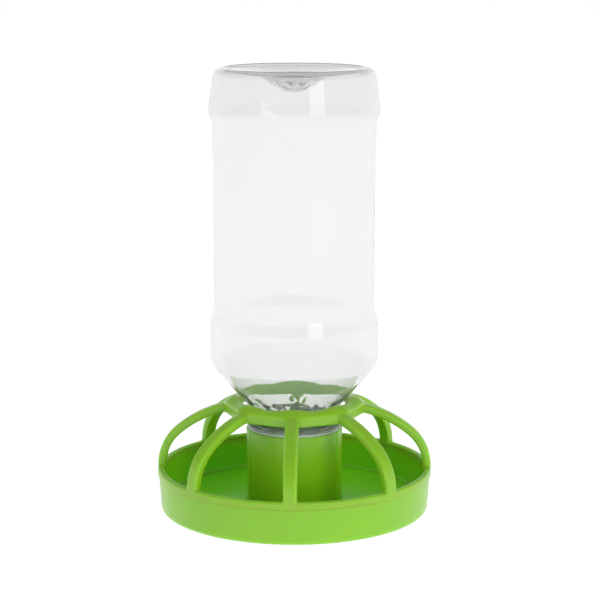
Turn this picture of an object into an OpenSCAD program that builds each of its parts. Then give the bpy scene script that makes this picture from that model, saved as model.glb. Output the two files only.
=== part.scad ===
// Poultry drinker: a bottle screwed upside down into a round dish with a ribbed guard.
// Millimetres, +Z up, origin at the middle of the foot on the standing surface.

/* [Dish] */
// Outside diameter of the dish at its rim
dish_d = 140; // [120:1:180]
// Height of the top of the guard's ring above the standing surface
rim_z = 22; // [21:0.5:30]
// Height of the inside floor
floor_z = 4; // [3:0.5:6]
// Thickness of the floor
floor_t = 2; // [1.5:0.1:2.5]
// Thickness of the wall near its foot
wall_t = 1.9; // [1.5:0.1:2.5]
// How much the wall leans in from rim to foot
wall_lean = 1.3; // [0.5:0.1:3]
// Radius of the rounded edge between wall and foot
foot_round = 2.5; // [1:0.5:3]

/* [Socket] */
// Outside diameter of the socket column at its top
column_d = 49; // [48:0.5:52]
// Height of the top of the column
column_top = 41.9; // [38:0.1:46]
// Bore of the column
bore_d = 44.6; // [44:0.1:45]
// Width of each water port at the foot of the column
port_w = 5; // [4:0.5:8]
// Height of each water port, which sets the water level
port_h = 9; // [5:0.5:12]

/* [Guard] */
// Height of the collar's outer top edge
collar_z = 55; // [54:0.5:60]
// Distance from the axis to a corner of the collar
collar_r = 37; // [35:0.5:40]
// Diameter of the hole in the collar
collar_hole_d = 52.8; // [52:0.2:54]
// Width of a rib
rib_w = 6.9; // [4:0.1:8]
// Thickness of a rib
rib_t = 4.2; // [3:0.1:5]
// Turn of the guard from locked to released, degrees
guard_turn = 12; // [8:1:16]

/* [Bottle] */
// Diameter of the bottle's shoulder band
band_d = 85.4; // [80:0.2:90]
// Diameter of the bottle's waist
waist_d = 81.3; // [76:0.2:84]
// Height of the top of the standing bottle
top_z = 225; // [200:1:260]
// Wall thickness of the bottle
bottle_wall = 0.8; // [0.6:0.1:1.5]
// Outside diameter of the neck
neck_d = 39.8; // [39.4:0.1:40]
// Diameter of the support bead
bead_d = 47.8; // [46:0.2:49]
// Thread pitch
pitch = 4; // [3.8:0.1:4.4]
// Turns of thread
turns = 1.5; // [1:0.25:2]

/* [Hidden] */
$fn = 96;

green = "#8cc63f";
deep_green = "#5a9c1e";
clear = "#dfe8ea";
seal_white = "#f2f2ee";

over = 0.5;                               // cutters reach this far past a face

// dish
rim_r = dish_d / 2;
wall_top_r = rim_r - 0.5;
wall_foot_r = wall_top_r - wall_lean;
ring_h = 3.8;
seat_z = rim_z - ring_h;                  // where the guard's ring meets the wall
ring_top_t = 1.7;
spigot_z = rim_z - ring_top_t;
spigot_r = rim_r - 1.38;
spigot_in = rim_r - 3.1;
foot_in = wall_foot_r - 4.6;
inner_round = 1.5;
fit = 0.08;                               // running clearance, radial

// socket column
column_r = column_d / 2;
column_foot_r = column_r - 0.5;
bore_r = bore_d / 2;
groove_w = 1.8;
groove_depth = 1;
groove_from_side = 25.5;                  // degrees from the left and right of the column

// locking lugs and their groove in the spigot
lug_angle = 8;
lug_reach = 0.55;
lug_z = seat_z + 0.5;
lug_h = 0.6;
lug_gap = 0.35;
track_r = spigot_r - 0.85;
slot_r = track_r - 0.1;
lug_places = [22.5, 112.5, 202.5, 292.5];

// guard
ring_skirt_in = spigot_r + fit;
ring_edge = 1.0;
rib_round = 1.6;
low_r = 26;                               // outer radius of a rib's lower arc
low_angle = 50;
high_r = 60;                              // outer radius of a rib's upper arc
high_angle = 32;
low_c = [rim_r - low_r, rim_z];
high_c = low_c - (high_r - low_r) * [cos(low_angle), sin(low_angle)];
collar_face = collar_r * cos(22.5);       // middle of a flat of the octagon
rib_root = collar_r - rib_w / 2 / tan(67.5);
collar_h = 5;
collar_t = 2.2;
crown = 2.4;
hole_r = collar_hole_d / 2;
hole_edge = 0.9;
rib_step = 45;

// seal
seal_t = 1.3;
bead_z = column_top + seal_t;
bead_t = 1.7;
bead_r = bead_d / 2;

// neck
neck_r = neck_d / 2;
neck_in = neck_r - 2;
mouth_z = bead_z - 19;
throat_r = neck_r - 0.4;
neck_top = bead_z + 4.8;

// threads
thread_steps = 48;
thread_root = 1.7;
thread_crest = 1.0;
neck_thread_h = 1.4;
socket_thread_h = 1.7;
thread_z = mouth_z + 5.8;
thread_lead = 1.5;                        // the socket's ridge lies this far above the neck's
run_out = 6;                              // steps over which a ridge rises at each end
sunk = 0.2;                               // how far a ridge dips into its wall before it is trimmed

// outline of the bottle's outside from the neck to the base, radius and height
band_r = band_d / 2;
waist_r = waist_d / 2;
cone_slope = 0.852;                       // radius gained for each millimetre of height
cone_lean = atan(cone_slope);
cone_round = 13.2;
cone_end_r = band_r - cone_round * (1 - cos(cone_lean));
throat_round = 3;
cone_start = [throat_r + throat_round * (1 - cos(cone_lean)), neck_top + throat_round * sin(cone_lean)];
cone_end = [cone_end_r, cone_start[1] + (cone_end_r - cone_start[0]) / cone_slope];
band_low_z = cone_end[1] + cone_round * sin(cone_lean);
band_high_z = band_low_z + 15.5;
waist_low_z = band_high_z + 6.5;
label_z = top_z - 45;
label_step = 0.2;
waist_high_z = top_z - 27.5;
bulge_r = band_r + 0.2;
bulge_z = top_z - 21;
crown_r = band_r - 1.6;
crown_z = top_z - 5.6;
base_round = 5.4;
stand_r = 36.6;
punt_r = 34.4;
dome_deep = 3;                            // the base's shallow hollow
boss_deep = 7.6;                          // the deeper hollow in the middle of it
boss_r = 15.5;

// points of an arc, from angle a to angle b
function arc(c, r, a, b, n) = [for (i = [0:n]) c + r * [cos(a + (b - a) * i / n), sin(a + (b - a) * i / n)]];
function without_last(p) = [for (i = [0:len(p) - 2]) p[i]];

// height of the hollow base at a radius
function punt_z(r) = top_z - 1 - dome_deep * (1 - pow(r / punt_r, 2))
    - boss_deep * pow(max(0, 1 - pow(r / boss_r, 2)), 1.5);

cone_points = concat(
    arc([throat_r + throat_round, neck_top], throat_round, 180, 180 - cone_lean, 4),
    arc([band_r - cone_round, band_low_z], cone_round, -cone_lean, 0, 8)
);
band_points = [[band_r, band_low_z], [band_r, band_high_z - 1], [band_r - 0.25, band_high_z]];
taper_points = [[band_r - 0.25, band_high_z], [waist_r + 0.25, waist_low_z - 1], [waist_r, waist_low_z]];
waist_points = [
    [waist_r, waist_low_z],
    [waist_r, label_z - 1],
    [waist_r + label_step, label_z],
    [waist_r + label_step, waist_high_z]
];
top_band_points = concat(
    [[waist_r + label_step, waist_high_z], [bulge_r - 0.7, bulge_z - 2.2]],
    arc([bulge_r - 1.8, bulge_z], 1.8, -40, 8, 4),
    [[crown_r, crown_z - 1]]
);
base_points = concat(
    [[crown_r, crown_z - 1]],
    arc([crown_r - base_round, top_z - base_round - 0.3], base_round, 12, 80, 6),
    [[stand_r, top_z], [stand_r - 0.9, top_z - 0.2]],
    [for (i = [0:6]) let (r = punt_r + (boss_r - punt_r) * i / 6) [r, punt_z(r)]],
    [for (i = [1:8]) let (r = boss_r * (1 - i / 8)) [r, punt_z(r)]]
);

// the shell's outline moved inwards by the wall thickness
function last(p) = len(p) - 1;
function along(p, i) = let (d = p[min(i + 1, last(p))] - p[max(i - 1, 0)]) d / norm(d);
function inwards(p, t) = [for (i = [0:last(p)]) let (d = along(p, i))
    [p[i][0] == 0 ? 0 : p[i][0] - t * d[1], p[i][1] + t * d[0]]];

outline = concat(
    without_last(cone_points), without_last(band_points), without_last(taper_points),
    without_last(waist_points), without_last(top_band_points), base_points
);
inline = inwards(outline, bottle_wall);
band_at = len(cone_points) - 1;
taper_at = band_at + len(band_points) - 1;
waist_at = taper_at + len(taper_points) - 1;
top_band_at = waist_at + len(waist_points) - 1;
base_at = top_band_at + len(top_band_points) - 1;

module shell(from, to) {
    rotate_extrude() polygon(concat(
        [for (i = [from:to]) outline[i]],
        [for (i = [to:-1:from]) inline[i]]
    ));
}

// one helical ridge, its root let into the wall; side is 1 for outwards and -1 for inwards
module ridge(wall_r, height, side, z0) {
    steps = turns * thread_steps;
    function rise(i) = min(1, i / run_out, (steps - i) / run_out) * (height + sunk) - sunk;
    function ring(i) = let (
        a = i * 360 / thread_steps,
        z = z0 + pitch * i / thread_steps,
        root_r = wall_r - side * 2 * sunk,
        crest_r = wall_r + side * rise(i)
    ) [
        [root_r * cos(a), root_r * sin(a), z - thread_root / 2],
        [crest_r * cos(a), crest_r * sin(a), z - thread_crest / 2],
        [crest_r * cos(a), crest_r * sin(a), z + thread_crest / 2],
        [root_r * cos(a), root_r * sin(a), z + thread_root / 2]
    ];
    points = [for (i = [0:steps]) each ring(i)];
    sides = [for (i = [0:steps - 1], k = [0:3]) let (
        a = 4 * i + k,
        b = 4 * i + (k + 1) % 4
    ) side > 0 ? [a, b, b + 4, a + 4] : [a + 4, b + 4, b, a]];
    ends = side > 0
        ? [[3, 2, 1, 0], [4 * steps, 4 * steps + 1, 4 * steps + 2, 4 * steps + 3]]
        : [[0, 1, 2, 3], [4 * steps + 3, 4 * steps + 2, 4 * steps + 1, 4 * steps]];
    polyhedron(points, concat(sides, ends), convexity = 6);
}

module dish_floor() {
    color(green) translate([0, 0, floor_z - floor_t]) cylinder(h = floor_t, r = foot_in);
}

module dish_wall() {
    color(green) difference() {
        rotate_extrude() polygon(concat(
            [[foot_in, floor_z], [foot_in, 0]],
            arc([wall_foot_r - foot_round, foot_round], foot_round, -90, 0, 6),
            [
                [wall_top_r, seat_z],
                [spigot_r, seat_z],
                [spigot_r, spigot_z],
                [spigot_in, spigot_z]
            ],
            arc([wall_foot_r - wall_t - inner_round, floor_z + inner_round], inner_round, 0, -90, 4)
        ));
        for (a = lug_places) lug_track(a);
    }
}

// groove that a lug turns in, with an upright slot where the lug enters
module lug_track(a) {
    spare = asin(lug_gap / spigot_r);
    rotate(a - lug_angle / 2 - spare) translate([0, 0, lug_z - lug_gap])
        rotate_extrude(angle = lug_angle + guard_turn + 2 * spare)
        translate([track_r, 0]) square([2, lug_h + 2 * lug_gap]);
    rotate(a + guard_turn - lug_angle / 2 - spare / 2) translate([0, 0, lug_z])
        rotate_extrude(angle = lug_angle + spare)
        translate([slot_r, 0]) square([2, ring_h]);
}

module socket_column() {
    color(deep_green) difference() {
        translate([0, 0, floor_z]) cylinder(h = column_top - floor_z, r1 = column_foot_r, r2 = column_r);
        translate([0, 0, floor_z - over]) cylinder(h = column_top - floor_z + 2 * over, r = bore_r);
        translate([-port_w / 2, -column_d, floor_z - over]) cube([port_w, 2 * column_d, port_h + over]);
        for (side = [0, 180], lean = [-groove_from_side, groove_from_side])
            rotate(side + lean) translate([column_r - groove_depth, -groove_w / 2, floor_z + 1.5])
            cube([groove_depth + over, groove_w, column_top]);
    }
}

module socket_thread() {
    color(deep_green) intersection() {
        ridge(bore_r, socket_thread_h, -1, thread_z + thread_lead);
        translate([0, 0, floor_z]) cylinder(h = column_top - floor_z, r = bore_r);
    }
}

module guard_ring() {
    color(green) rotate_extrude() polygon(concat(
        [[spigot_in, spigot_z], [ring_skirt_in, spigot_z], [ring_skirt_in, seat_z], [rim_r, seat_z]],
        arc([rim_r - ring_edge, rim_z - ring_edge], ring_edge, 0, 90, 5),
        [[spigot_in + 0.5, rim_z], [spigot_in, rim_z - 0.5]]
    ));
}

module guard_lugs() {
    color(green) for (a = lug_places) rotate(a - lug_angle / 2) translate([0, 0, lug_z])
        rotate_extrude(angle = lug_angle)
        translate([ring_skirt_in - lug_reach, 0]) square([lug_reach, lug_h]);
}

module collar_outline() {
    corner = rib_w / 2;
    polygon([for (k = [0:7], s = [-1, 1]) let (a = k * rib_step)
        [rib_root * cos(a) - s * corner * sin(a), rib_root * sin(a) + s * corner * cos(a)]]);
}

// one eighth of the collar, from rib k to the next
module collar(k) {
    low = collar_z - collar_h;
    high = collar_z + crown;
    crest_r = (hole_r + collar_face) / 2;
    half = crest_r - hole_r;
    color(green) intersection() {
        rotate((k - 1) * rib_step) rotate_extrude(angle = rib_step) polygon(concat(
            [[collar_r + 1, low], [collar_r + 1, collar_z]],
            [for (i = [0:8]) let (t = 1 - i / 8) [crest_r + (collar_face - crest_r) * t, high - crown * t * t]],
            [for (i = [1:5]) let (t = i / 6) [crest_r - half * t, high - crown * 0.75 * t * t]],
            arc([hole_r + hole_edge, collar_z - 0.4], hole_edge, 120, 180, 4),
            [
                [hole_r, collar_z - 2],
                [hole_r + 1.4, collar_z - 2],
                [crest_r - 1.5, high - collar_t],
                [crest_r + 1, high - collar_t],
                [collar_face - collar_t, collar_z - collar_t + 0.6],
                [collar_face - collar_t, low]
            ]
        ));
        translate([0, 0, low - over]) linear_extrude(high - low + 2 * over) collar_outline();
    }
}

// section of a rib across its length, seen from the middle of its arc
module rib_section(r) {
    half = rib_w / 2;
    polygon(concat(
        [[r - rib_t, -half], [r - rib_round, -half]],
        arc([r - rib_round, rib_round - half], rib_round, -90, 0, 5),
        arc([r - rib_round, half - rib_round], rib_round, 0, 90, 5),
        [[r - rib_t, half]]
    ));
}

module rib(k) {
    color(green) rotate((k - 1) * rib_step) difference() {
        rotate([90, 0, 0]) {
            translate([low_c[0], low_c[1], 0]) rotate_extrude(angle = low_angle) rib_section(low_r);
            translate([high_c[0], high_c[1], 0]) rotate([0, 0, low_angle])
                rotate_extrude(angle = high_angle) rib_section(high_r);
        }
        translate([0, -rib_w, rim_z]) cube([rib_root, 2 * rib_w, collar_z]);
    }
}

module seal_washer() {
    color(seal_white) translate([0, 0, column_top]) difference() {
        cylinder(h = seal_t, r = bead_r);
        translate([0, 0, -over]) cylinder(h = seal_t + 2 * over, r = neck_r + fit);
    }
}

module neck() {
    color(clear) rotate_extrude() polygon([
        [neck_in, mouth_z],
        [neck_r - 0.6, mouth_z],
        [neck_r, mouth_z + 0.6],
        [neck_r, bead_z + bead_t],
        [throat_r, bead_z + bead_t + 0.4],
        [throat_r, neck_top],
        [throat_r - bottle_wall, neck_top],
        [throat_r - bottle_wall, neck_top - 1],
        [neck_in, neck_top - 3]
    ]);
}

module neck_thread() {
    color(clear) difference() {
        ridge(neck_r, neck_thread_h, 1, thread_z);
        translate([0, 0, mouth_z]) cylinder(h = bead_z - mouth_z, r = neck_r);
    }
}

module support_bead() {
    color(clear) translate([0, 0, bead_z]) difference() {
        cylinder(h = bead_t, r = bead_r);
        translate([0, 0, -over]) cylinder(h = bead_t + 2 * over, r = neck_r);
    }
}

module shoulder_cone() {
    color(clear) shell(0, band_at);
}

module shoulder_band() {
    color(clear) shell(band_at, waist_at);
}

module waist() {
    color(clear) shell(waist_at, top_band_at);
}

module base_band() {
    color(clear) shell(top_band_at, base_at);
}

module base() {
    color(clear) shell(base_at, last(outline));
}

dish_floor();
dish_wall();
socket_column();
socket_thread();
guard_ring();
guard_lugs();
collar(1);  // collar_1
collar(2);  // collar_2
collar(3);  // collar_3
collar(4);  // collar_4
collar(5);  // collar_5
collar(6);  // collar_6
collar(7);  // collar_7
collar(8);  // collar_8
rib(1);  // rib_1
rib(2);  // rib_2
rib(3);  // rib_3
rib(4);  // rib_4
rib(5);  // rib_5
rib(6);  // rib_6
rib(7);  // rib_7
rib(8);  // rib_8
seal_washer();
neck();
neck_thread();
support_bead();
shoulder_cone();
shoulder_band();
waist();
base_band();
base();
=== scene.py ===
import math

import bmesh
import bpy
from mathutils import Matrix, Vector, noise


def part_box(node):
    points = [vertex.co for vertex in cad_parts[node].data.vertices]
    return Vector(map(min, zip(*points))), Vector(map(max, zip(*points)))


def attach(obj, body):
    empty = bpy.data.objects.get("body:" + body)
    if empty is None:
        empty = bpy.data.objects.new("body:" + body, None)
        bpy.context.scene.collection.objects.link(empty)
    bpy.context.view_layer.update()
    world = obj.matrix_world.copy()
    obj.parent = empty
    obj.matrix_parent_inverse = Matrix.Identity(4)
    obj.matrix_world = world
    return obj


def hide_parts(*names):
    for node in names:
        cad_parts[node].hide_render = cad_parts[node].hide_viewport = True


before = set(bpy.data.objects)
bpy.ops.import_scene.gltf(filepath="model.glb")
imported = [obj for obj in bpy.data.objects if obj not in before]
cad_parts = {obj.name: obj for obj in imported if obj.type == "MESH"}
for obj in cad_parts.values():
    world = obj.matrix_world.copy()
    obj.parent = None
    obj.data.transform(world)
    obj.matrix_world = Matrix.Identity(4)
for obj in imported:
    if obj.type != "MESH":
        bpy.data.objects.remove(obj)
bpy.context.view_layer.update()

scene = bpy.context.scene
mm = 0.001
fullTurn = 2 * math.pi
onAxis = 1e-6      # millimetres from the axis that still count as on it
onWall = 0.01      # millimetres from a wall that still count as on it


# sizes of a CAD node in millimetres: outside radius, bottom and top
def nodeSize(name):
    low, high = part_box(name)
    return high.x / mm, low.z / mm, high.z / mm


def cosSin(angle):
    return math.cos(angle), math.sin(angle)


def between(a, b, share):
    return a + (b - a) * share


def smoothStep(low, high, x):
    t = max(0.0, min(1.0, (x - low) / (high - low)))
    return t * t * (3 - 2 * t)


# how far an angle is from the nearest of some places round the axis
def angleFrom(angle, places):
    return min(abs((angle - place + math.pi) % fullTurn - math.pi) for place in places)


# an outline from its corners (radius, height, bend radius), with every bend as an arc
def bendLine(corners, stepAngle=12):
    line = [Vector(corners[0][:2])]
    for before, corner, after in zip(corners, corners[1:], corners[2:]):
        here = Vector(corner[:2])
        bend = corner[2] if len(corner) > 2 else 0
        into = (here - Vector(before[:2])).normalized()
        out = (Vector(after[:2]) - here).normalized()
        turn = into.angle(out)
        if not bend or turn < 0.01:
            line.append(here)
            continue
        side = 1 if into.cross(out) > 0 else -1
        start = here - into * bend * math.tan(turn / 2)
        centre = start + Vector((-into.y, into.x)) * bend * side
        arm = start - centre
        steps = max(2, math.ceil(math.degrees(turn) / stepAngle))
        for k in range(steps + 1):
            c, s = cosSin(side * turn * k / steps)
            line.append(centre + Vector((arm.x * c - arm.y * s, arm.x * s + arm.y * c)))
    line.append(Vector(corners[-1][:2]))
    return line


# splits long stretches so that there are points to shape
def splitLine(line, longest):
    out = [line[0]]
    for a, b in zip(line, line[1:]):
        parts = max(1, math.ceil((b - a).length / longest))
        out += [a.lerp(b, k / parts) for k in range(1, parts + 1)]
    return out


# even steps round the axis, with closer ones about the places where something narrow stands
def turnAngles(count, places=(), halfWidth=0.0, parts=8):
    angles = [fullTurn * k / count for k in range(count)]
    for place in places:
        near = place % fullTurn
        angles = [a for a in angles if angleFrom(a, [near]) > halfWidth * 1.02]
        angles += [(near + halfWidth * (2 * k / parts - 1)) % fullTurn for k in range(parts + 1)]
    return sorted(angles)


def addObject(name, shape):
    data = bpy.data.meshes.new(name)
    shape.to_mesh(data)
    shape.free()
    thing = bpy.data.objects.new(name, data)
    scene.collection.objects.link(thing)
    return thing


def addSolid(name, shape):
    bmesh.ops.recalc_face_normals(shape, faces=shape.faces)
    return addObject(name, shape)


def ringPoint(shape, r, z, angle):
    c, s = cosSin(angle)
    return shape.verts.new((r * c * mm, r * s * mm, z * mm))


# faces from each loop of points to the next one
def bridgeLoops(shape, loops):
    for a, b in zip(loops, loops[1:]):
        for i in range(len(a)):
            n = (i + 1) % len(a)
            shape.faces.new([a[i], a[n], b[n], b[i]])


# turns an outline about the Z axis; move(radius, height, angle) may shift each point
def lathe(name, line, angles, move=None, closed=False):
    shape = bmesh.new()
    rows = []
    for p in line:
        if p.x < onAxis:
            rows.append([shape.verts.new((0, 0, p.y * mm))])
            continue
        places = [move(p.x, p.y, a) if move else (p.x, p.y) for a in angles]
        rows.append([ringPoint(shape, r, z, a) for (r, z), a in zip(places, angles)])
    for low, high in zip(rows, rows[1:] + rows[:1] if closed else rows[1:]):
        for k in range(max(len(low), len(high))):
            n = k + 1
            ring = [low[k % len(low)], low[n % len(low)], high[n % len(high)], high[k % len(high)]]
            ring = [v for i, v in enumerate(ring) if v not in ring[:i]]
            if len(ring) > 2:
                shape.faces.new(ring)
    return addSolid(name, shape)


# a block bent round the axis, between two radii, two heights and two angles
def bentBlock(name, innerR, outerR, low, high, fromAngle, toAngle, steps=8):
    shape = bmesh.new()
    corners = [(innerR, low), (outerR, low), (outerR, high), (innerR, high)]
    rings = []
    for k in range(steps + 1):
        angle = math.radians(fromAngle + (toAngle - fromAngle) * k / steps)
        rings.append([ringPoint(shape, r, z, angle) for r, z in corners])
    bridgeLoops(shape, rings)
    shape.faces.new(rings[0][::-1])
    shape.faces.new(rings[-1])
    return addSolid(name, shape)


def applyModifiers(thing):
    bpy.context.view_layer.update()
    shaped = thing.evaluated_get(bpy.context.evaluated_depsgraph_get())
    data = bpy.data.meshes.new_from_object(shaped)
    old = thing.data
    thing.modifiers.clear()
    thing.data = data
    bpy.data.meshes.remove(old)


# smooth shading, with faces that meet at a sharper angle than this kept apart
def shadeSmooth(thing, sharpAngle=40):
    thing.data.polygons.foreach_set("use_smooth", [True] * len(thing.data.polygons))
    shape = bmesh.new()
    shape.from_mesh(thing.data)
    limit = math.radians(sharpAngle)
    for edge in shape.edges:
        edge.smooth = len(edge.link_faces) == 2 and edge.calc_face_angle() < limit
    shape.to_mesh(thing.data)
    shape.free()
    thing.data.update()


def cutAway(thing, cutters):
    for cutter in cutters:
        cut = thing.modifiers.new("cut", "BOOLEAN")
        cut.operation = "DIFFERENCE"
        cut.solver = "EXACT"
        cut.object = cutter
    applyModifiers(thing)
    for cutter in cutters:
        bpy.data.objects.remove(cutter)


def joinInto(thing, others):
    shape = bmesh.new()
    shape.from_mesh(thing.data)
    for other in others:
        shape.from_mesh(other.data)
        bpy.data.objects.remove(other)
    shape.to_mesh(thing.data)
    shape.free()


threadMargin = 1.0    # millimetres of wall past a thread's ends that get close points too
threadStep = 0.3      # height between those points


def threadSpan(spec):
    return spec["first"] - threadMargin, spec["first"] + spec["pitch"] * spec["turns"] + threadMargin


# close points along the wall that carries a thread
def splitThread(line, wallR, spec):
    low, high = threadSpan(spec)
    out = []
    for a, b in zip(line, line[1:]):
        straight = abs(a.x - wallR) < onWall and abs(b.x - wallR) < onWall
        if straight and min(a.y, b.y) < high and max(a.y, b.y) > low:
            out += splitLine([a, b], threadStep)[:-1]
        else:
            out.append(a)
    return out + [line[-1]]


# height of a right-hand thread ridge at one point of a wall, with its ends run out
def threadHeight(z, angle, spec):
    turn = (angle % fullTurn) / fullTurn
    best = 0.0
    for k in range(int(spec["turns"]) + 1):
        along = turn + k
        if along > spec["turns"]:
            break
        off = abs(z - spec["first"] - spec["pitch"] * along)
        flank = (spec["root"] / 2 - off) / ((spec["root"] - spec["crest"]) / 2)
        ends = min(1.0, along / spec["runOut"], (spec["turns"] - along) / spec["runOut"])
        best = max(best, spec["height"] * max(0.0, min(1.0, flank)) * ends)
    return best


# the dish with its threaded socket; sizes are in millimetres and degrees here and in the other pieces
dish = {
    "floorUnder": 2.0, "floorTop": 4.0,
    "footWidth": 4.6, "footBend": 2.5,
    "wallLean": 1.3, "wallThick": 1.9, "innerBend": 1.5,
    "spigotStep": 0.88, "spigotWidth": 1.72,                # the rim inside the guard's skirt
    "columnLean": 0.5, "columnWall": 2.2, "columnFillet": 1.3,
    "grooveWidth": 1.8, "grooveDepth": 1.0, "grooveFromSide": 25.5, "grooveFade": 1.5,
    "grooveFlat": 0.7, "grooveEdge": 1.05, "grooveZone": 1.4, "grooveSteps": 12,   # shares of half its width
    "portWidth": 5.0, "portHeight": 9.0, "portBend": 1.2, "portReach": 30.0, "portLift": 0.02,
    "trackDepth": 0.85, "trackLow": 18.35, "trackHigh": 19.65, "trackOut": 0.5,
    "slotTop": 21.0, "slotOverlap": 0.4, "slotExtra": 0.1,
    "lugCount": 4, "lugAngle": 8, "lugGap": 0.3, "guardTurn": 12, "firstLug": 22.5,
    "gateRadius": 1.6, "gateDrop": 0.7, "gateSlope": 0.4, "markRadius": 7.0, "markHigh": 0.25,
    "longest": 4.0, "steps": 288,
}
socketThread = {
    "first": 31.5, "pitch": 4.0, "turns": 1.5, "height": 1.7, "root": 1.7, "crest": 1.0, "runOut": 0.12,
}
grooveAngles = [math.radians(side + way * dish["grooveFromSide"]) for side in (0, 180) for way in (-1, 1)]


def dishOutline():
    wallR, foot, spigotTop = nodeSize("dish_wall")
    columnR, floorTop, columnTop = nodeSize("socket_column")
    seat = nodeSize("guard_ring")[1]
    footR = wallR - dish["wallLean"]
    footIn = footR - dish["footWidth"]
    spigotR = wallR - dish["spigotStep"]
    spigotIn = spigotR - dish["spigotWidth"]
    boreR = columnR - dish["columnWall"]
    under = dish["floorUnder"]
    gateR, gateLow = dish["gateRadius"], under - dish["gateDrop"]
    markR, markHigh = dish["markRadius"], dish["markHigh"]
    gate = [
        (0, gateLow), (gateR, gateLow, 0.3), (gateR + dish["gateSlope"], under, 0.3),
        (markR, under, 0.2), (markR + markHigh, under + markHigh, 0.1), (markR + 2 * markHigh, under, 0.2),
    ]
    wall = [
        (footIn, under, 0.7), (footIn, foot, 0.6), (footR, foot, dish["footBend"]),
        (wallR, seat, 0.22), (spigotR, seat, 0.1), (spigotR, spigotTop, 0.3), (spigotIn, spigotTop, 0.4),
        (footR - dish["wallThick"], floorTop, dish["innerBend"]),
    ]
    column = [
        (columnR - dish["columnLean"], floorTop, dish["columnFillet"]), (columnR, columnTop, 0.35),
        (boreR, columnTop, 0.35), (boreR, floorTop, 0.8), (0, floorTop),
    ]
    return gate + wall + column


def makeDish():
    columnR = nodeSize("socket_column")[0]
    boreR = columnR - dish["columnWall"]
    line = splitThread(splitLine(bendLine(dishOutline()), dish["longest"]), boreR, socketThread)
    threadLow, threadHigh = threadSpan(socketThread)
    grooveLow = dish["floorTop"] + dish["columnFillet"]
    half = dish["grooveWidth"] / 2 / (columnR - dish["columnLean"])

    # the thread stands into the bore, and four upright grooves sink into the column's outside
    def move(r, z, angle):
        if abs(r - boreR) < onWall and threadLow < z < threadHigh:
            return r - threadHeight(z, angle, socketThread), z
        if (boreR + columnR) / 2 < r < columnR + onWall and z > grooveLow:
            off = angleFrom(angle, grooveAngles)
            across = 1 - smoothStep(half * dish["grooveFlat"], half * dish["grooveEdge"], off)
            depth = dish["grooveDepth"] * across
            return r - depth * smoothStep(grooveLow, grooveLow + dish["grooveFade"], z), z
        return r, z

    angles = turnAngles(dish["steps"], grooveAngles, half * dish["grooveZone"], dish["grooveSteps"])
    thing = lathe("dishMoulding", line, angles, move)
    cutAway(thing, [portCutter()] + trackCutters())
    shadeSmooth(thing)
    return thing


# one long block, rounded at its top edges, cuts both water ports
def portCutter():
    half, bend, reach = dish["portWidth"] / 2, dish["portBend"], dish["portReach"]
    low, high = dish["floorTop"] + dish["portLift"], dish["floorTop"] + dish["portHeight"]
    outline = [(-half, low), (half, low)]
    for side, start in ((1, 0), (-1, 90)):
        for k in range(7):
            c, s = cosSin(math.radians(start + 15 * k))
            outline.append((side * (half - bend) + bend * c, high - bend + bend * s))
    shape = bmesh.new()
    ends = [[shape.verts.new((x * mm, y * mm, z * mm)) for x, z in outline] for y in (-reach, reach)]
    shape.faces.new(ends[0])
    shape.faces.new(ends[1][::-1])
    bridgeLoops(shape, ends)
    return addSolid("portCutter", shape)


# the groove that each lug turns in and the slot where it enters
def trackCutters():
    spigotR = nodeSize("dish_wall")[0] - dish["spigotStep"]
    outerR = spigotR + dish["trackOut"]
    depth, half, gap = dish["trackDepth"], dish["lugAngle"] / 2, dish["lugGap"]
    cutters = []
    for k in range(dish["lugCount"]):
        middle = dish["firstLug"] + 360 / dish["lugCount"] * k
        cutters.append(bentBlock("track", spigotR - depth, outerR, dish["trackLow"], dish["trackHigh"],
                                 middle - half - gap, middle + half + gap + dish["guardTurn"]))
        entry = middle + dish["guardTurn"]
        cutters.append(bentBlock("slot", spigotR - depth - dish["slotExtra"], outerR,
                                 dish["trackHigh"] - dish["slotOverlap"], dish["slotTop"],
                                 entry - half - gap / 2, entry + half + gap / 2))
    return cutters


# the guard: a ring on the rim, arched ribs and the octagonal collar round the bottle's cone
guard = {
    "ringTop": 1.7, "ringWidth": 3.1, "skirt": 1.3, "ringBend": 1.0, "ringInnerBend": 0.5, "ringStart": 0.8,
    "ringSplit": 3.0, "ringSteps": 360,
    "ribCount": 8, "ribWidth": 6.9, "ribThick": 4.2, "ribBend": 1.3, "ribChamfer": 0.3,
    "ribSink": 0.35, "ribRoot": 1.5,                        # where a rib's foot ends inside the ring
    "lowRadius": 26.0, "lowAngle": 50, "lowSteps": 18,
    "highRadius": 60.0, "highAngle": 27.5, "highSteps": 14,
    "collarHole": 26.4, "collarTop": 55.0, "collarSide": 5.0, "collarWall": 2.2, "collarBend": 0.4,
    "collarSteps": 320, "holeBend": 0.9, "holeUnder": 0.3, "underStart": 0.75, "underHalf": 1.5,
    "crown": 2.5, "crownSwell": 0.6, "crownInner": 0.75,
    "crownStart": 0.25, "crownShort": 0.6, "crownSteps": 12,
    "lugReach": 0.5, "lugSink": 0.5, "lugLow": 18.75, "lugHigh": 19.25,
    "voxel": 0.525, "softening": 0.5, "smoothing": 2,
}


def makeRing():
    rimR, seat, top = nodeSize("guard_ring")
    inner = rimR - guard["ringWidth"]
    skirtIn = rimR - guard["skirt"]
    under = top - guard["ringTop"]
    start = (inner + guard["ringStart"], under)
    corners = [
        start, (skirtIn, under), (skirtIn, seat), (rimR, seat), (rimR, top, guard["ringBend"]),
        (inner, top, guard["ringInnerBend"]), (inner, under), start,
    ]
    line = splitLine(bendLine(corners)[:-1], guard["ringSplit"])
    return lathe("ring", line, turnAngles(guard["ringSteps"]), closed=True)


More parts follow.
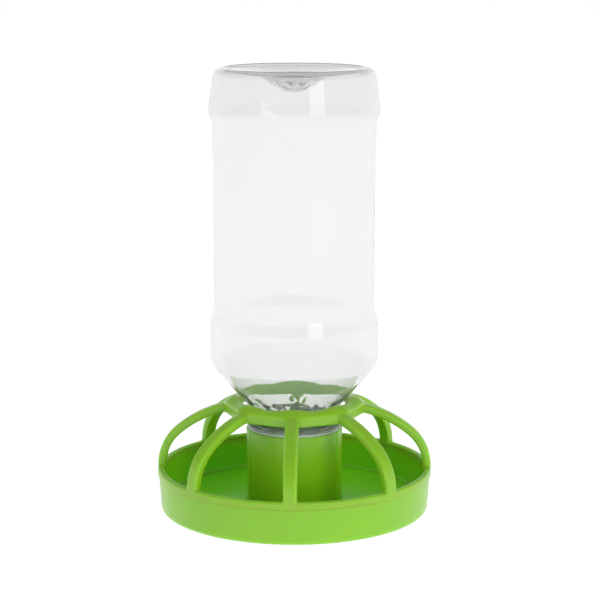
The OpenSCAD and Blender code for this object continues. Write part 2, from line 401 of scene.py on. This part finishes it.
# places along the middle of a rib's outer face, with the way out of the face at each
def ribPath():
    rimR, _, top = nodeSize("guard_ring")
    low, high = guard["lowRadius"], guard["highRadius"]
    lowTurn, highTurn = math.radians(guard["lowAngle"]), math.radians(guard["highAngle"])
    lowCentre = Vector((rimR - low, top))
    highCentre = lowCentre - (high - low) * Vector(cosSin(lowTurn))
    path = [(Vector((rimR - guard["ribSink"], top - guard["ribRoot"])), Vector((1, 0)))]
    for k in range(guard["lowSteps"] + 1):
        out = Vector(cosSin(lowTurn * k / guard["lowSteps"]))
        path.append((lowCentre + low * out, out))
    for k in range(1, guard["highSteps"] + 1):
        out = Vector(cosSin(lowTurn + highTurn * k / guard["highSteps"]))
        path.append((highCentre + high * out, out))
    return path


# half of a rib's section, across and out of the face, and then the same mirrored
def ribSection():
    half, thick, bend = guard["ribWidth"] / 2, guard["ribThick"], guard["ribBend"]
    section = [(half - guard["ribChamfer"], -thick), (half, guard["ribChamfer"] - thick), (half, -bend)]
    for k in range(1, 6):
        c, s = cosSin(math.radians(90 - 15 * k))
        section.append((half - bend + bend * s, bend * c - bend))
    section.append((half - bend, 0))
    return section + [(-x, y) for x, y in reversed(section)]


def makeRib(number):
    c, s = cosSin(math.radians(360 / guard["ribCount"] * number))
    shape = bmesh.new()
    rings = []
    for place, out in ribPath():
        ring = []
        for across, outward in ribSection():
            p = place + out * outward
            ring.append(shape.verts.new(((p.x * c - across * s) * mm, (p.x * s + across * c) * mm, p.y * mm)))
        rings.append(ring)
    bridgeLoops(shape, rings)
    shape.faces.new(rings[0][::-1])
    shape.faces.new(rings[-1])
    return addSolid("rib", shape)


# the collar's outline: an octagon with its corners cut square to the ribs
def collarReach(angle):
    cornerR = nodeSize("collar_1")[0]
    step = fullTurn / guard["ribCount"]
    face = (cornerR + guard["ribWidth"] / 2 * math.tan(step / 2)) * math.cos(step / 2)
    off = (angle + step / 2) % step - step / 2
    flat = face / math.cos(step / 2 - abs(off))
    return min(flat, cornerR / math.cos(off))


def makeCollar():
    hole, top, wall = guard["collarHole"], guard["collarTop"], guard["collarWall"]
    low, bend, holeBend = top - guard["collarSide"], guard["collarBend"], guard["holeBend"]
    crest = (hole + collarReach(math.radians(180 / guard["ribCount"]))) / 2

    # the crown stands higher over each rib than between them
    def crownHeight(r, angle):
        crown = guard["crown"] + guard["crownSwell"] * math.cos(guard["ribCount"] * angle)
        if r > crest:
            t = (r - crest) / (collarReach(angle) - crest)
            return top + crown * (1 - t * t)
        t = (crest - r) / (crest - hole)
        return top + crown * (1 - guard["crownInner"] * t * t)

    shape = bmesh.new()
    loops = []
    for angle in turnAngles(guard["collarSteps"]):
        reach = collarReach(angle)
        line = [(hole + wall * guard["underStart"], top - wall), (hole + guard["holeUnder"], top - wall),
                (hole, top - wall + bend)]
        for k in range(guard["crownSteps"] + 1):
            r = hole + guard["crownStart"] + (reach - guard["crownShort"] - hole) * k / guard["crownSteps"]
            drop = holeBend * max(0.0, 1 - (r - hole) / holeBend) ** 2
            line.append((r, crownHeight(r, angle) - drop))
        under = crownHeight(crest, angle) - wall
        line += [(reach, top - bend), (reach, low), (reach - wall, low), (reach - wall, top - wall + bend),
                 (crest + guard["underHalf"], under), (crest - guard["underHalf"], under)]
        loops.append([ringPoint(shape, r, z, angle) for r, z in line])
    bridgeLoops(shape, loops + loops[:1])
    return addSolid("collar", shape)


# ring, collar and ribs are fused into one skin, and the thin lugs join it afterwards
def makeGuard():
    thing = makeRing()
    thing.name = "guardMoulding"
    joinInto(thing, [makeCollar()] + [makeRib(k) for k in range(guard["ribCount"])])
    fuse = thing.modifiers.new("fuse", "REMESH")
    fuse.mode = "VOXEL"
    fuse.voxel_size = guard["voxel"] * mm
    soften = thing.modifiers.new("soften", "SMOOTH")
    soften.factor = guard["softening"]
    soften.iterations = guard["smoothing"]
    applyModifiers(thing)
    skirtIn = nodeSize("guard_ring")[0] - guard["skirt"]
    half = dish["lugAngle"] / 2
    lugs = []
    for k in range(dish["lugCount"]):
        middle = dish["firstLug"] + 360 / dish["lugCount"] * k
        lugs.append(bentBlock("lug", skirtIn - guard["lugReach"], skirtIn + guard["lugSink"],
                              guard["lugLow"], guard["lugHigh"], middle - half, middle + half))
    joinInto(thing, lugs)
    shadeSmooth(thing, 60)
    return thing


# the seal: a soft washer between the bottle's bead and the top of the socket, lipped underneath
seal = {
    "overNeck": 0.08, "bend": 0.3, "lip": 0.25, "lipFrom": 1.2, "lipTo": 1.5, "lipBend": 0.2, "steps": 192,
}


def makeSeal():
    outer, low, high = nodeSize("seal_washer")
    inner = nodeSize("neck")[0] + seal["overNeck"]
    bend, lipBend, hollow = seal["bend"], seal["lipBend"], low + seal["lip"]
    start = (inner, (low + high) / 2)
    corners = [
        start, (inner, low, bend),
        (inner + seal["lipFrom"], low, lipBend), (inner + seal["lipTo"], hollow, lipBend),
        (outer - seal["lipTo"], hollow, lipBend), (outer - seal["lipFrom"], low, lipBend),
        (outer, low, bend), (outer, high, bend), (inner, high, bend), start,
    ]
    thing = lathe("sealWasher", bendLine(corners)[:-1], turnAngles(seal["steps"]), closed=True)
    shadeSmooth(thing)
    return thing


# the bottle, blown with a thin wall and standing on its neck
bottle = {
    "neckWall": 2.0, "throatDrop": 0.4, "throatBend": 3.0, "throatLedge": 0.6, "throatLow": 1.2,
    "coneSlope": 0.852, "coneRound": 13.2, "taper": 6.5, "waistInset": 2.05,
    "labelDown": 45.0, "labelStep": 0.2, "labelHalf": 0.5, "shoulderDown": 27.5,
    "bulgeOut": 0.2, "bulgeDown": 21.0, "bulgeHalf": 1.0, "crownIn": 2.6, "crownDown": 8.6, "heelBend": 4.7,
    "standRadius": 35.6, "puntRadius": 34.4, "puntDrop": 1.0, "puntSteps": 40,
    "domeDeep": 3.0, "bossDeep": 7.6, "bossRadius": 17.0,
    "wallWaist": 0.40, "wallHeel": 0.42, "wallPunt": 0.9, "wallCone": 0.36, "wallThroat": 1.1,
    "puntThinning": 0.35, "coneThinning": 0.6,             # shares where the wall changes
    "seamHeight": 0.05, "seamFlat": 0.1, "seamHalf": 0.35, "seamAngle": 1.0, "seamSteps": 6,
    "waveHeight": 0.16, "waveAround": 1.3, "waveUpward": 0.022,
    "rippleHeight": 0.34, "rippleAround": 6, "rippleUpward": 0.45,
    "rippleBelow": 3.0, "rippleFull": 9.0, "rippleEnd": 17.0,   # from the top of the neck
    "petals": 9, "petalDeep": 0.55, "foldShare": 0.5, "foldScale": 0.5, "foldPlane": 3,
    "longest": 2.2, "beadClear": 0.2, "steps": 214,
}
neckThread = {
    "first": 30.0, "pitch": 4.0, "turns": 1.5, "height": 1.4, "root": 1.7, "crest": 1.0, "runOut": 0.12,
}
seamAngles = [math.radians(90), math.radians(270)]


def bottleOutline():
    neckR, mouth, neckTop = nodeSize("neck")
    beadR, beadLow, beadHigh = nodeSize("support_bead")
    bandR, _, waistLow = nodeSize("shoulder_band")
    top = nodeSize("base")[2]
    throat = neckR - bottle["throatDrop"]
    coneFoot = neckTop + bottle["throatBend"] * math.tan(math.atan(bottle["coneSlope"]) / 2)
    bandLow = coneFoot + (bandR - throat) / bottle["coneSlope"]
    waistR = bandR - bottle["waistInset"]
    labelR, labelZ, labelHalf = waistR + bottle["labelStep"], top - bottle["labelDown"], bottle["labelHalf"]
    bulgeR, bulgeZ, bulgeHalf = bandR + bottle["bulgeOut"], top - bottle["bulgeDown"], bottle["bulgeHalf"]
    puntR, puntZ = bottle["puntRadius"], top - bottle["puntDrop"]
    line = bendLine([
        (neckR - bottle["neckWall"] / 2, mouth), (neckR, mouth, 0.5), (neckR, beadLow, 0.2),
        (beadR, beadLow, 0.35), (beadR, beadHigh, 0.5), (throat + bottle["throatLedge"], beadHigh, 0.6),
        (throat, beadHigh + bottle["throatLow"], 1.0), (throat, coneFoot, bottle["throatBend"]),
        (bandR, bandLow, bottle["coneRound"]), (bandR, waistLow - bottle["taper"], 0.5),
        (waistR, waistLow, 7.0), (waistR, labelZ - labelHalf, 1.0), (labelR, labelZ + labelHalf, 1.0),
        (labelR, top - bottle["shoulderDown"], 3.0), (bulgeR, bulgeZ - bulgeHalf, 1.6),
        (bulgeR, bulgeZ + bulgeHalf, 2.0), (bandR - bottle["crownIn"], top, bottle["heelBend"]),
        (bottle["standRadius"], top, 0.8), (puntR, puntZ),
    ])[:-1]
    for k in range(bottle["puntSteps"] + 1):
        r = puntR * (1 - k / bottle["puntSteps"])
        dome = bottle["domeDeep"] * (1 - (r / puntR) ** 2)
        boss = bottle["bossDeep"] * max(0.0, 1 - (r / bottle["bossRadius"]) ** 2) ** 1.5
        line.append(Vector((r, puntZ - dome - boss)))
    return line


# heights at which the wall changes, and the radius where the base begins
def bottleZones():
    top = nodeSize("base")[2]
    _, bandLow, bandTop = nodeSize("shoulder_band")
    return {
        "cone": nodeSize("neck")[2], "band": bandLow, "waist": bandTop, "bulge": top - bottle["bulgeDown"],
        "crown": top - bottle["crownDown"], "stand": bottle["standRadius"],
    }


def wallThickness(r, z, zones):
    cone, band, stand = zones["cone"], zones["band"], zones["stand"]
    if r < stand and z > zones["crown"]:
        inward = smoothStep(stand, stand * bottle["puntThinning"], r)
        return between(bottle["wallHeel"], bottle["wallPunt"], inward)
    if z > zones["bulge"]:
        return between(bottle["wallWaist"], bottle["wallHeel"], smoothStep(zones["bulge"], zones["crown"], z))
    thinned = smoothStep(cone, cone + bottle["coneThinning"] * (band - cone), z)
    neckwards = between(bottle["wallThroat"], bottle["wallCone"], thinned)
    return between(neckwards, bottle["wallWaist"], smoothStep(band, zones["waist"], z))


# the inside is the outside moved in by the wall, over a straight bore in the neck
def bottleInside(outside, zones):
    neckR, mouth, _ = nodeSize("neck")
    beadHigh = nodeSize("support_bead")[2]
    boreR = neckR - bottle["neckWall"]
    inside = [Vector((boreR, mouth)), Vector((boreR, beadHigh))]
    for i, p in enumerate(outside):
        if p.y <= beadHigh + bottle["beadClear"]:
            continue
        way = (outside[min(i + 1, len(outside) - 1)] - outside[i - 1]).normalized()
        q = p + Vector((-way.y, way.x)) * wallThickness(p.x, p.y, zones)
        if p.x < onAxis:
            q.x = 0
        if q.y > beadHigh:
            inside.append(q)
    return splitLine(inside, bottle["longest"])


def roundNoise(angle, z, around, upward):
    c, s = cosSin(angle)
    return noise.noise(Vector((c * around, s * around, z * upward)))


def makeBottle():
    neckR, _, neckTop = nodeSize("neck")
    zones = bottleZones()
    outside = splitLine(bottleOutline(), bottle["longest"])
    inside = bottleInside(outside, zones)
    outside = splitThread(outside, neckR, neckThread)
    innerPoints = {(round(q.x, 4), round(q.y, 4)) for q in inside}
    threadLow, threadHigh = threadSpan(neckThread)
    rippleLow = neckTop - bottle["rippleBelow"]

    # thread, mould seams, slow waves, crinkles inside the cone, and petals in the pushed-up base
    def move(r, z, angle):
        inner = (round(r, 4), round(z, 4)) in innerPoints
        if abs(r - neckR) < onWall and threadLow < z < threadHigh:
            return r + threadHeight(z, angle, neckThread), z
        if z > neckTop and r > bottle["puntRadius"]:
            off = angleFrom(angle, seamAngles) * r
            r += bottle["seamHeight"] * (1 - smoothStep(bottle["seamFlat"], bottle["seamHalf"], off))
        slow = roundNoise(angle, z, bottle["waveAround"], bottle["waveUpward"])
        r += bottle["waveHeight"] * slow * smoothStep(zones["cone"], zones["waist"], z)
        if inner and rippleLow < z < zones["band"]:
            fade = 1 - smoothStep(neckTop + bottle["rippleFull"], neckTop + bottle["rippleEnd"], z)
            crinkle = roundNoise(angle, z, bottle["rippleAround"], bottle["rippleUpward"])
            r += bottle["rippleHeight"] * (smoothStep(rippleLow, neckTop, z) * fade) * crinkle
        if r < bottle["bossRadius"] and z > zones["bulge"]:
            ring = math.sin(math.pi * min(1.0, r / bottle["bossRadius"]))
            uneven = roundNoise(angle, bottle["foldPlane"], r * bottle["foldScale"], 1)
            fold = math.cos(bottle["petals"] * angle) + bottle["foldShare"] * uneven
            z += bottle["petalDeep"] * ring * fold
        return r, z

    angles = turnAngles(bottle["steps"], seamAngles, math.radians(bottle["seamAngle"]), bottle["seamSteps"])
    thing = lathe("bottleShell", outside + inside[::-1], angles, move, closed=True)
    shadeSmooth(thing, 50)
    return thing


# a socket takes a link from another socket, or else a fixed value
def feed(tree, socket, value):
    if isinstance(value, bpy.types.NodeSocket):
        tree.links.new(value, socket)
    else:
        socket.default_value = value


def setSockets(node, values):
    for title, value in values.items():
        node.inputs[title].default_value = value


def addNode(tree, kind, **values):
    node = tree.nodes.new(kind)
    for key, value in values.items():
        if hasattr(node, key):
            setattr(node, key, value)
        else:
            node.inputs[key].default_value = value
    return node


def mathNode(tree, operation, a, b, clamp=False):
    node = addNode(tree, "ShaderNodeMath", operation=operation, use_clamp=clamp)
    tree.links.new(a, node.inputs[0])
    tree.links.new(b, node.inputs[1])
    return node.outputs[0]


def rampNode(tree, value, low, high, outLow=0.0, outHigh=1.0):
    node = addNode(tree, "ShaderNodeMapRange")
    given = {"Value": value, "From Min": low, "From Max": high, "To Min": outLow, "To Max": outHigh}
    for title, number in given.items():
        feed(tree, node.inputs[title], number)
    return node.outputs["Result"]


def mixColour(tree, factor, colour, other):
    blend = addNode(tree, "ShaderNodeMix", data_type="RGBA")
    for title, value in (("Factor", factor), ("A", colour), ("B", other)):
        feed(tree, blend.inputs[title], value)
    return blend.outputs["Result"]


def objectPlace(tree):
    return addNode(tree, "ShaderNodeTexCoord").outputs["Object"]


# a noise texture on the piece itself, with its scale from another socket
def cloudNode(tree, scale, **values):
    cloud = addNode(tree, "ShaderNodeTexNoise", **values)
    tree.links.new(objectPlace(tree), cloud.inputs["Vector"])
    tree.links.new(scale, cloud.inputs["Scale"])
    return cloud.outputs["Fac"]


# an empty shader group; inputs are (name, first value) and the output is (name, kind of socket)
def makeGroup(name, inputs, output):
    group = bpy.data.node_groups.new(name, "ShaderNodeTree")
    for title, value in inputs:
        kind = "NodeSocketColor" if isinstance(value, tuple) else "NodeSocketFloat"
        group.interface.new_socket(name=title, in_out="INPUT", socket_type=kind).default_value = value
    group.interface.new_socket(name=output[0], in_out="OUTPUT", socket_type=output[1])
    given, result = group.nodes.new("NodeGroupInput"), group.nodes.new("NodeGroupOutput")
    return group, given.outputs, result.inputs[0]


# two colours in slow patches with fine flow streaks, as in moulded plastic
def makeFlowGroup():
    group, given, result = makeGroup("flowColour", [
        ("Colour", (0.5, 0.5, 0.5, 1)), ("Shifted Colour", (0.5, 0.5, 0.5, 1)),
        ("Patch Scale", 20.0), ("Streak Scale", 90.0), ("Amount", 0.5)], ("Colour", "NodeSocketColor"))
    patch = cloudNode(group, given["Patch Scale"], Detail=3.0)
    streak = cloudNode(group, given["Streak Scale"], Detail=2.0, Distortion=1.5)
    both = mathNode(group, "ADD", rampNode(group, patch, 0.35, 0.65, 0, 0.7),
                    rampNode(group, streak, 0.4, 0.7, 0, 0.3))
    amount = mathNode(group, "MULTIPLY", both, given["Amount"], clamp=True)
    group.links.new(mixColour(group, amount, given["Colour"], given["Shifted Colour"]), result)
    return group


# mask of outside edges, broken up: partly real wear where handling has dulled and paled the plastic, partly a
# painted edge highlight and painted glow of light through thin edges
def makeWearAndSheenGroup():
    group, given, result = makeGroup("edgeWearAndSheen", [
        ("Edge Start", 0.52), ("Edge Full", 0.58), ("Break Scale", 160.0), ("Amount", 0.5)],
        ("Mask", "NodeSocketFloat"))
    edge = addNode(group, "ShaderNodeNewGeometry").outputs["Pointiness"]
    sharp = rampNode(group, edge, given["Edge Start"], given["Edge Full"])
    spots = rampNode(group, cloudNode(group, given["Break Scale"], Detail=4.0), 0.35, 0.6, 0.25, 1)
    broken = mathNode(group, "MULTIPLY", sharp, spots)
    group.links.new(mathNode(group, "MULTIPLY", broken, given["Amount"], clamp=True), result)
    return group


# height of a moulded surface: slow unevenness and fine grain
def makeGrainGroup():
    group, given, result = makeGroup("mouldGrain", [
        ("Wave Scale", 60.0), ("Wave Height", 0.5), ("Grain Scale", 1500.0), ("Grain Height", 0.1)],
        ("Height", "NodeSocketFloat"))
    parts = []
    for title, detail in (("Wave", 2.0), ("Grain", 3.0)):
        cloud = cloudNode(group, given[title + " Scale"], Detail=detail)
        parts.append(mathNode(group, "MULTIPLY", cloud, given[title + " Height"]))
    group.links.new(mathNode(group, "ADD", *parts), result)
    return group


# thin dust that settles on what faces up, in patches
def makeDustGroup():
    group, given, result = makeGroup("settledDust", [
        ("Patch Scale", 40.0), ("Speck Scale", 900.0), ("Amount", 0.2)], ("Mask", "NodeSocketFloat"))
    facing = addNode(group, "ShaderNodeSeparateXYZ")
    group.links.new(addNode(group, "ShaderNodeNewGeometry").outputs["Normal"], facing.inputs[0])
    upward = rampNode(group, facing.outputs["Z"], 0.2, 1.0)
    masks = []
    for title, low, high in (("Patch Scale", 0.35, 0.7), ("Speck Scale", 0.45, 0.75)):
        masks.append(rampNode(group, cloudNode(group, given[title], Detail=4.0), low, high))
    dusty = mathNode(group, "MULTIPLY", upward, mathNode(group, "ADD", *masks))
    group.links.new(mathNode(group, "MULTIPLY", dusty, given["Amount"], clamp=True), result)
    return group


groups = {
    "flow": makeFlowGroup(), "wearAndSheen": makeWearAndSheenGroup(), "grain": makeGrainGroup(), "dust": makeDustGroup(),
}
print("shader groups built:", ", ".join(groups))


def placeGroup(tree, name, values):
    node = tree.nodes.new("ShaderNodeGroup")
    node.node_tree = groups[name]
    setSockets(node, values)
    return node


# a material with the finish's fixed shader values and its grain already in place
def newFinish(name, finish):
    material = bpy.data.materials.new(name)
    material.use_nodes = True
    tree = material.node_tree
    shader = tree.nodes["Principled BSDF"]
    setSockets(shader, finish["shader"])
    grain = placeGroup(tree, "grain", finish["grain"])
    bump = addNode(tree, "ShaderNodeBump", Distance=finish["bump"])
    tree.links.new(grain.outputs["Height"], bump.inputs["Height"])
    tree.links.new(bump.outputs["Normal"], shader.inputs["Normal"])
    dust = placeGroup(tree, "dust", finish["dust"]).outputs["Mask"]
    return material, tree, shader, dust


# green moulded plastic, a little deeper in colour in the dish than in the guard
greenPlastic = {
    "dish": {"Colour": (0.242, 0.530, 0.005, 1), "Shifted Colour": (0.222, 0.505, 0.004, 1)},
    "guard": {"Colour": (0.265, 0.510, 0.010, 1), "Shifted Colour": (0.235, 0.490, 0.008, 1)},
    # the paler edge colour is partly real wear and partly a painted edge highlight and painted glow
    "wornAndSheen": (0.42, 0.64, 0.12, 1), "dusty": (0.62, 0.62, 0.50, 1),
    "flow": {"Patch Scale": 28.0, "Streak Scale": 120.0, "Amount": 0.8},
    "wearAndSheen": {"Edge Start": 0.53, "Edge Full": 0.62, "Break Scale": 220.0, "Amount": 0.35},
    "dust": {"Patch Scale": 35.0, "Speck Scale": 1400.0, "Amount": 0.01},
    "grain": {"Wave Scale": 70.0, "Wave Height": 0.8, "Grain Scale": 2600.0, "Grain Height": 0.05},
    "bump": 0.00006, "roughness": (0.30, 0.40), "dullest": 0.6,
    "shader": {"Subsurface Weight": 0.9, "Subsurface Radius": (0.5, 1.6, 0.1), "Subsurface Scale": 0.004,
               "Specular IOR Level": 0.7, "IOR": 1.49},
}


def greenMaterial(name, piece):
    material, tree, shader, dust = newFinish(name, greenPlastic)
    link = tree.links.new
    flow = placeGroup(tree, "flow", {**greenPlastic["flow"], **greenPlastic[piece]}).outputs["Colour"]
    wearAndSheen = placeGroup(tree, "wearAndSheen", greenPlastic["wearAndSheen"]).outputs["Mask"]
    # sharp edges paled: real handling wear plus painted highlight and painted glow through thin plastic
    wornAndSheen = mixColour(tree, wearAndSheen, flow, greenPlastic["wornAndSheen"])
    link(mixColour(tree, dust, wornAndSheen, greenPlastic["dusty"]), shader.inputs["Base Color"])
    dulled = mathNode(tree, "ADD", wearAndSheen, dust, clamp=True)
    rough = rampNode(tree, dulled, 0.0, greenPlastic["dullest"], *greenPlastic["roughness"])
    link(rough, shader.inputs["Roughness"])
    return material


siliconeRubber = {
    "colours": {"Colour": (0.80, 0.93, 0.78, 1), "Shifted Colour": (0.74, 0.88, 0.72, 1)},
    "dusty": (0.6, 0.6, 0.55, 1),
    "flow": {"Patch Scale": 60.0, "Streak Scale": 240.0, "Amount": 0.6},
    "dust": {"Patch Scale": 60.0, "Speck Scale": 1600.0, "Amount": 0.06},
    "grain": {"Wave Scale": 160.0, "Wave Height": 0.6, "Grain Scale": 3000.0, "Grain Height": 0.2},
    "bump": 0.00001, "roughness": (0.12, 0.3), "dullest": 0.3,
    "shader": {"Transmission Weight": 0.55, "IOR": 1.41},
}


def siliconeMaterial():
    material, tree, shader, dust = newFinish("siliconeRubber", siliconeRubber)
    link = tree.links.new
    flow = placeGroup(tree, "flow", {**siliconeRubber["flow"], **siliconeRubber["colours"]}).outputs["Colour"]
    link(mixColour(tree, dust, flow, siliconeRubber["dusty"]), shader.inputs["Base Color"])
    rough = rampNode(tree, dust, 0.0, siliconeRubber["dullest"], *siliconeRubber["roughness"])
    link(rough, shader.inputs["Roughness"])
    return material


# clear bottle plastic, greyer towards its outline and in the heavy base
clearPlastic = {
    "clear": (0.901, 0.901, 0.904, 1),
    "edge": (0.87, 0.87, 0.873, 1), "edgeFrom": 0.6, "edgeTo": 0.98,
    "thick": (0.866, 0.866, 0.870, 1), "thickFrom": 0.197, "thickTo": 0.204,   # metres up
    "dust": {"Patch Scale": 30.0, "Speck Scale": 700.0, "Amount": 0.25},
    "grain": {"Wave Scale": 45.0, "Wave Height": 1.0, "Grain Scale": 400.0, "Grain Height": 0.02},
    "bump": 0.00003, "roughness": (0.0, 0.04), "dullest": 0.4,
    "shader": {"Transmission Weight": 0.955, "IOR": 1.575},
}


def clearMaterial():
    material, tree, shader, dust = newFinish("clearPlastic", clearPlastic)
    link = tree.links.new
    place = addNode(tree, "ShaderNodeSeparateXYZ")
    link(objectPlace(tree), place.inputs[0])
    heavy = rampNode(tree, place.outputs["Z"], clearPlastic["thickFrom"], clearPlastic["thickTo"])
    body = mixColour(tree, heavy, clearPlastic["clear"], clearPlastic["thick"])
    facing = addNode(tree, "ShaderNodeLayerWeight", Blend=0.5).outputs["Facing"]
    edge = rampNode(tree, facing, clearPlastic["edgeFrom"], clearPlastic["edgeTo"])
    link(mixColour(tree, edge, body, clearPlastic["edge"]), shader.inputs["Base Color"])
    rough = rampNode(tree, dust, 0.0, clearPlastic["dullest"], *clearPlastic["roughness"])
    link(rough, shader.inputs["Roughness"])
    through = addNode(tree, "ShaderNodeBsdfTransparent")       # lets light reach the dish
    mix = addNode(tree, "ShaderNodeMixShader")
    link(addNode(tree, "ShaderNodeLightPath").outputs["Is Shadow Ray"], mix.inputs["Fac"])
    link(shader.outputs["BSDF"], mix.inputs[1])
    link(through.outputs["BSDF"], mix.inputs[2])
    link(mix.outputs["Shader"], tree.nodes["Material Output"].inputs["Surface"])
    return material


# the studio, in metres, degrees and watts
studio = {
    "cameraDistance": 0.950, "cameraAngle": -88.2, "cameraHeight": 0.2857,
    "cameraPitch": 10.606, "cameraYaw": 0.174, "lens": 114.6,
    "aimHeight": 0.1,                                       # lamps look at this height on the axis
    "floorSize": 14.0, "floorGlow": 1.0, "floorTone": 0.12, "floorRoughness": 0.9,
    "worldLow": 1.0, "worldHigh": 0.28, "darkFrom": 0.18, "darkTo": 0.45, "worldBack": 1.0,
}
lamps = [
    # name, angle round the axis, height angle, distance, width, height, power, seen in gloss
    ("keySoftbox", -50, 14, 1.3, 0.35, 0.9, 6.5, False),
    ("fillSoftbox", -140, 12, 1.4, 0.30, 0.8, 0.5, False),
    ("topSoftbox", -90, 82, 1.3, 0.8, 0.8, 1.2, False),
    ("backSoftbox", 80, 40, 1.6, 1.0, 0.6, 2.0, False),
    ("sideSoftbox", 165, 30, 1.3, 0.5, 0.5, 2.5, False),
    ("stripBox", -58, 12, 1.3, 0.45, 0.50, 0.75, True),
    ("sparkBox", -125, 12, 1.3, 0.35, 0.12, 0.13, True),
]
white = (1, 1, 1, 1)


def makeCamera():
    data = bpy.data.cameras.new("camera")
    data.lens = studio["lens"]
    camera = bpy.data.objects.new("camera", data)
    c, s = cosSin(math.radians(studio["cameraAngle"]))
    away = studio["cameraDistance"]
    camera.location = (away * c, away * s, studio["cameraHeight"])
    camera.rotation_euler = (math.radians(90 - studio["cameraPitch"]), 0,
                             math.radians(studio["cameraAngle"] + 90 - studio["cameraYaw"]))
    scene.collection.objects.link(camera)
    scene.camera = camera


def makeLamp(name, angle, rise, away, width, height, power, inGloss):
    data = bpy.data.lights.new(name, "AREA")
    data.shape = "RECTANGLE"
    data.size, data.size_y = width, height
    data.energy = power
    lamp = bpy.data.objects.new(name, data)
    c, s = cosSin(math.radians(angle))
    aim = Vector((0, 0, studio["aimHeight"]))
    flat = away * math.cos(math.radians(rise))
    lamp.location = (flat * c, flat * s, aim.z + away * math.sin(math.radians(rise)))
    lamp.rotation_euler = (aim - lamp.location).to_track_quat("-Z", "Y").to_euler()
    scene.collection.objects.link(lamp)
    lamp.visible_camera = False
    lamp.visible_glossy = inGloss
    lamp.visible_transmission = inGloss


def makeFloor():
    shape = bmesh.new()
    bmesh.ops.create_grid(shape, x_segments=4, y_segments=4, size=studio["floorSize"] / 2)
    floor = addObject("studioFloor", shape)
    material = bpy.data.materials.new("studioFloor")
    material.use_nodes = True
    setSockets(material.node_tree.nodes["Principled BSDF"], {
        "Base Color": (studio["floorTone"],) * 3 + (1,), "Roughness": studio["floorRoughness"],
        "Specular IOR Level": 0.0, "Emission Color": white, "Emission Strength": studio["floorGlow"]})
    floor.data.materials.append(material)


# white where the camera sees it, and dimmer overhead for everything else
def makeWorld():
    world = bpy.data.worlds.new("studioWorld")
    scene.world = world
    world.use_nodes = True
    tree = world.node_tree
    link = tree.links.new
    way = addNode(tree, "ShaderNodeSeparateXYZ")
    link(addNode(tree, "ShaderNodeTexCoord").outputs["Generated"], way.inputs[0])
    around = tree.nodes["Background"]
    around.inputs["Color"].default_value = white
    link(rampNode(tree, way.outputs["Z"], studio["darkFrom"], studio["darkTo"],
                  studio["worldLow"], studio["worldHigh"]), around.inputs["Strength"])
    seen = addNode(tree, "ShaderNodeBackground", Color=white, Strength=studio["worldBack"])
    mix = addNode(tree, "ShaderNodeMixShader")
    link(addNode(tree, "ShaderNodeLightPath").outputs["Is Camera Ray"], mix.inputs["Fac"])
    link(around.outputs["Background"], mix.inputs[1])
    link(seen.outputs["Background"], mix.inputs[2])
    link(mix.outputs["Shader"], tree.nodes["World Output"].inputs["Surface"])


makeCamera()
for lamp in lamps:
    makeLamp(*lamp)
makeFloor()
makeWorld()
scene.view_settings.view_transform = "Standard"
print("studio ready")


dishNodes = ["dish_floor", "dish_wall", "socket_column", "socket_thread"]
guardNodes = ["guard_ring", "guard_lugs"]
guardNodes += [f"{part}_{k}" for part in ("collar", "rib") for k in range(1, guard["ribCount"] + 1)]
bottleNodes = ["neck", "neck_thread", "support_bead", "shoulder_cone", "shoulder_band"]
bottleNodes += ["waist", "base_band", "base"]

# how each piece is made, its body by name, the CAD nodes it stands for, and its material
pieces = [
    (makeDish, "dish", dishNodes, greenMaterial("greenDish", "dish")),
    (makeGuard, "guard", guardNodes, greenMaterial("greenGuard", "guard")),
    (makeSeal, "seal", ["seal_washer"], siliconeMaterial()),
    (makeBottle, "bottle", bottleNodes, clearMaterial()),
]
for make, body, nodes, material in pieces:
    piece = make()
    piece.data.materials.clear()
    piece.data.materials.append(material)
    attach(piece, body)
    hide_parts(*nodes)
    print(piece.name, "has", len(piece.data.polygons), "faces")
